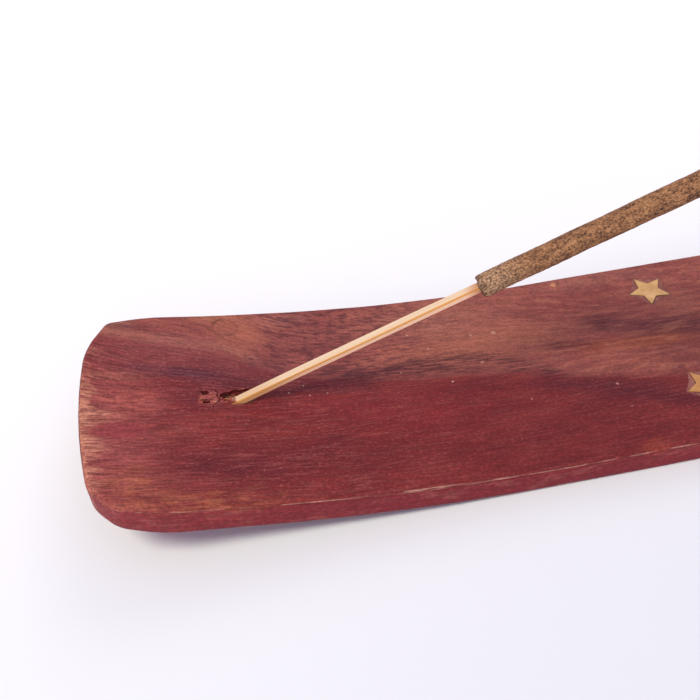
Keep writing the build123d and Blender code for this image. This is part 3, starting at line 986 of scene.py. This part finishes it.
def splitBamboo():
    look = bambooLook
    material, tree, place = startStickMaterial("split bamboo, bare")
    along = addNode(tree, "SeparateXYZ", {0: place}, out="X")
    across, up = along.node.outputs["Y"], along.node.outputs["Z"]
    fibre = speckle(tree, place, look["fibre"], 3.0)
    pale = addNode(tree, "ValToRGB", {"Fac": fibre}, stops=look["pale"])
    side = addNode(tree, "ValToRGB", {"Fac": fibre}, stops=look["side"])
    top = share(tree, (up, *look["topFrom"]))
    colour = paint(tree, side, pale, top)
    section = addNode(tree, "CombineXYZ", {1: across, 2: up})
    toSkin = addNode(tree, "VectorMath", {0: section, 1: look["skinPlace"]}, out="Value",
                     operation="DISTANCE")
    colour = paint(tree, colour, look["skin"], (toSkin, *look["skinReach"]))
    # soot and painted shade by the hole, more on the sides than on the top
    stained = addNode(tree, "Math", {
        0: top, 1: look["sootAndShadeOnTop"], 2: share(tree, (along, *look["sootAndShadeRun"]))}, operation="MULTIPLY_ADD")
    colour = paint(tree, colour, look["sootAndShade"], stained)
    colour = paint(tree, colour, look["soaked"], (along, *look["soakRun"]))
    finishMaterial(tree, {"Base Color": colour, "Roughness": 0.5, "Specular IOR Level": 0.35},
                   (fibre, 0.3, 0.05))
    return material


def makeBamboo():
    shape = bambooShape
    bm = bmesh.new()
    corners = [(0, y * shape["width"] / 2, z * shape["thickness"] / 2)
               for y, z in ((-1, -1), (1, -1), (1, 1), (-1, 1))]
    section = bm.faces.new([bm.verts.new(corner) for corner in corners])
    roundCorners(bm, section.verts[:], shape["edgeRound"], shape["edgeSegments"])
    flats = [e for e in bm.edges if e.calc_length() > shape["thickness"] / 2]
    bmesh.ops.subdivide_edges(bm, edges=flats, cuts=shape["faceCuts"])
    for vert in bm.verts:
        vert.co.yz *= 1 - shape["flute"] * (1 + wobble(vert.co, *shape["fluteWobble"]))
    made = bmesh.ops.extrude_face_region(bm, geom=bm.faces[:])["geom"]
    bmesh.ops.translate(bm, vec=(bambooLength, 0, 0), verts=onlyVerts(made))
    bmesh.ops.recalc_face_normals(bm, faces=bm.faces[:])
    runs = [e for e in bm.edges if e.calc_length() > bambooLength / 2]
    bmesh.ops.subdivide_edges(bm, edges=runs, cuts=shape["lengthCuts"], use_grid_fill=True)
    bowEnd, bowFull = (bareLength + past for past in shape["bowTo"])
    for vert in bm.verts:
        x = vert.co.x
        bare = smoothStep(*shape["bowFrom"], x) * smoothStep(bowEnd, bowFull, x)
        vert.co.z += shape["bow"] * bare * math.sin(x / bareLength * math.pi)
        vert.co.y += shape["sway"] * shape["bow"] * bare * wobble(Vector((x, 0, 0)), *shape["swayWobble"])
    bmesh.ops.transform(bm, verts=bm.verts[:], matrix=stickPlace)
    finishPiece("bambooCore", bm, [splitBamboo()], "incense_stick", ["bamboo_core"])


makeBamboo()

# Incense paste, hand rolled: wood and charcoal powder, dry and gritty, ochre to charcoal
pasteShape = {
    "radius": 1.775,
    "tipCover": 1.5,  # paste past the end of the bamboo
    "endRound": 0.6,
    "endSegments": 4,
    "fineLength": 8.0,  # rings are closer together up to here
    "fineRings": 30,
    "rings": 340,
    "endRings": 4,
    "steps": 48,
    "lumps": 0.07,
    "lumpWobble": (5, 1),
    "grit": 0.05,
    "gritWobble": (0.55, 2),
    "crumble": 0.24,  # the lower end of the paste is rougher
    "crumbleLength": 2.5,
    "crumbleWobble": (0.7, 9),
    "fray": 1.6,  # and uneven, by this share of the crumble
    "frayWobble": (0.8, 12),
    "sharp": 80,
}
pasteLook = {
    "grit": (0.36, 0.28, 0.28),  # patch sizes in millimetres
    "clot": (2.4, 0.8, 0.8),
    "clotShare": 0.3,
    "powder": [(0.377, "3a2d28"), (0.437, "674737"), (0.497, "886043"), (0.557, "a67651"), (0.637, "c0936f")],
    "ash": [(0.35, "352c29"), (0.44, "7c634e"), (0.52, "b59073"), (0.62, "deb68a")],
    "ashRun": (bareLength + 9.0, bareLength + 1.0, 0, 0.65),
    "rim": "4a372e",  # the frayed rim is dark
    "rimWaver": -4.0,
    "rimRun": (bareLength - 1.2, bareLength - 1.9, 0, 0.65),
}


def rolledPaste():
    look = pasteLook
    material, tree, place = startStickMaterial("incense paste, rolled and dried")
    along = addNode(tree, "SeparateXYZ", {0: place}, out="X")
    grit = speckle(tree, place, look["grit"], 5.0, roughness=0.7)
    clot = speckle(tree, place, look["clot"], 3.0)
    mixed = addNode(tree, "Mix", {0: look["clotShare"], 2: grit, 3: clot})
    colour = addNode(tree, "ValToRGB", {"Fac": mixed}, stops=look["powder"])
    # the first stretch is paler and greyer, with black grains
    ash = addNode(tree, "ValToRGB", {"Fac": grit}, stops=look["ash"])
    colour = paint(tree, colour, ash, (along, *look["ashRun"]))
    rim = addNode(tree, "Math", {0: clot, 1: look["rimWaver"], 2: along}, operation="MULTIPLY_ADD")
    colour = paint(tree, colour, look["rim"], (rim, *look["rimRun"]))
    finishMaterial(tree, {"Base Color": colour, "Roughness": 0.9, "Specular IOR Level": 0.15},
                   (grit, 0.7, 0.12))
    return material


def makePaste():
    # half section spun about the stick, then roughened
    shape = pasteShape
    start = bareLength
    end = bambooLength + shape["tipCover"]
    bm = bmesh.new()
    profile = [(start, 0), (start, shape["radius"]), (start + shape["fineLength"], shape["radius"]),
               (end, shape["radius"]), (end, 0)]
    line = [bm.verts.new((x, 0, r)) for x, r in profile]
    for a, b in zip(line, line[1:]):
        bm.edges.new((a, b))
    roundCorners(bm, [line[1], line[3]], shape["endRound"], shape["endSegments"])
    byLength = sorted(bm.edges, key=lambda e: e.calc_length())
    bmesh.ops.subdivide_edges(bm, edges=[byLength[-1]], cuts=shape["rings"])
    bmesh.ops.subdivide_edges(bm, edges=[byLength[-2]], cuts=shape["fineRings"])
    bmesh.ops.subdivide_edges(bm, edges=byLength[-4:-2], cuts=shape["endRings"])
    bmesh.ops.spin(bm, geom=bm.verts[:] + bm.edges[:], axis=(1, 0, 0), cent=(0, 0, 0), steps=shape["steps"],
                   angle=math.tau, use_merge=True)
    bmesh.ops.remove_doubles(bm, verts=bm.verts[:], dist=0.001)
    bmesh.ops.recalc_face_normals(bm, faces=bm.faces[:])
    for vert in bm.verts:
        crumble = shape["crumble"] * smoothStep(start + shape["crumbleLength"], start, vert.co.x)
        swell = shape["lumps"] * wobble(vert.co, *shape["lumpWobble"])
        swell += shape["grit"] * wobble(vert.co, *shape["gritWobble"])
        swell += crumble * wobble(vert.co, *shape["crumbleWobble"])
        radius = max(vert.co.yz.length, 0.001)
        vert.co.yz *= 1 + swell * min(radius, 1) / radius
        vert.co.x += shape["fray"] * crumble * wobble(vert.co, *shape["frayWobble"])
    bmesh.ops.transform(bm, verts=bm.verts[:], matrix=stickPlace)
    finishPiece("incensePaste", bm, [rolledPaste()], "incense_stick", ["incense_paste"],
                sharp=shape["sharp"])


makePaste()

# Camera, floor and light
cameraView = {
    "place": (-103.87, -104.74, 120.49),  # millimetres
    "yaw": 7.96,
    "pitch": 44.69,
    "roll": -4.31,
    "lens": 51.43,
}
studio = {
    "floorSize": 30.0,  # metres
    "floorShift": (4.0, -7.0, 0.0),  # keeps the floor's edges and diagonals away from the tray
    "paper": [(0.14, "e1e2e6"), (0.95, "fcfcfc")],  # painted shade in front of the tray, and the paper's white round it
    "paperTooth": (0.6, 0.6, 0.6),  # millimetres, as are the next two
    "paintedShadeMiddle": (-30, -115, 0),
    "paintedShadeReach": (270, 240, 1),
    "worldColour": (0.95, 0.86, 1.29, 1.0),
    "worldStrength": 0.49,
    "lampColour": (0.97, 0.985, 0.79),
    "distant": {
        # where the light comes from, the angle it fills in degrees, and its strength
        "key": ((-0.34, -0.2, 0.72), 20, 1.6),
        "back": ((0.3, 0.52, 0.5), 35, 0.4),
        "front": ((0.08, -1.1, 0.25), 45, 0.6),
    },
    "overhead": {"place": (-0.42, -0.24, 0.72), "aim": (-0.08, 0, 0), "size": 0.25, "power": 1.0},
}


def setCamera():
    data = bpy.data.cameras.new("photoCamera")
    data.lens = cameraView["lens"]
    data.sensor_width = 36
    data.clip_start = 0.001
    camera = bpy.data.objects.new("photoCamera", data)
    turn = (Matrix.Rotation(math.radians(-cameraView["yaw"]), 4, "Z")
            @ Matrix.Rotation(math.radians(90 - cameraView["pitch"]), 4, "X")
            @ Matrix.Rotation(math.radians(cameraView["roll"]), 4, "Z"))
    camera.matrix_world = Matrix.Translation(Vector(cameraView["place"]) * mm) @ turn
    scene.collection.objects.link(camera)
    scene.camera = camera


# Matt white paper: bright, with painted shade that makes it greyer in front of the tray, and the faintest
# unevenness
def whitePaperPaintedShade():
    material, tree, place = startMaterial("matt white paper, painted shade in front")
    tooth = speckle(tree, place, studio["paperTooth"], 3.0)
    # painted shade, greyest in front of the tray and paling outwards
    local = addNode(tree, "Mapping", {
        "Vector": place, "Location": studio["paintedShadeMiddle"], "Scale": studio["paintedShadeReach"]},
        vector_type="TEXTURE")
    outwards = addNode(tree, "VectorMath", {0: local}, out="Value", operation="LENGTH")
    colour = addNode(tree, "ValToRGB", {"Fac": outwards}, stops=studio["paper"])
    colour.node.color_ramp.interpolation = "EASE"
    finishMaterial(tree, {"Base Color": colour, "Roughness": 0.9, "Specular IOR Level": 0.1},
                   (tooth, 0.25, 0.05))
    return material


def makeFloor():
    bm = bmesh.new()
    bmesh.ops.create_grid(bm, x_segments=1, y_segments=1, size=studio["floorSize"])
    bmesh.ops.translate(bm, verts=bm.verts[:], vec=studio["floorShift"])
    floor = addMesh("paperFloor", bm, [whitePaperPaintedShade()])


def hangLamp(light, place, aim):
    light.color = studio["lampColour"]
    lamp = bpy.data.objects.new(light.name, light)
    lamp.location = place
    lamp.rotation_euler = (aim - place).to_track_quat("-Z", "Y").to_euler()
    scene.collection.objects.link(lamp)


def setLight():
    world = bpy.data.worlds.new("studio")
    world.use_nodes = True
    background = world.node_tree.nodes["Background"]
    background.inputs["Color"].default_value = studio["worldColour"]
    background.inputs["Strength"].default_value = studio["worldStrength"]
    scene.world = world
    for name, (source, angle, strength) in studio["distant"].items():
        light = bpy.data.lights.new(name, "SUN")
        light.angle = math.radians(angle)
        light.energy = strength
        hangLamp(light, Vector(source), Vector((0, 0, 0)))
    overhead = studio["overhead"]
    light = bpy.data.lights.new("overhead", "AREA")
    light.size = overhead["size"]
    light.energy = overhead["power"]
    hangLamp(light, Vector(overhead["place"]), Vector(overhead["aim"]))
    scene.view_settings.view_transform = "Standard"


setCamera()
makeFloor()
setLight()
print("camera, floor and light set")
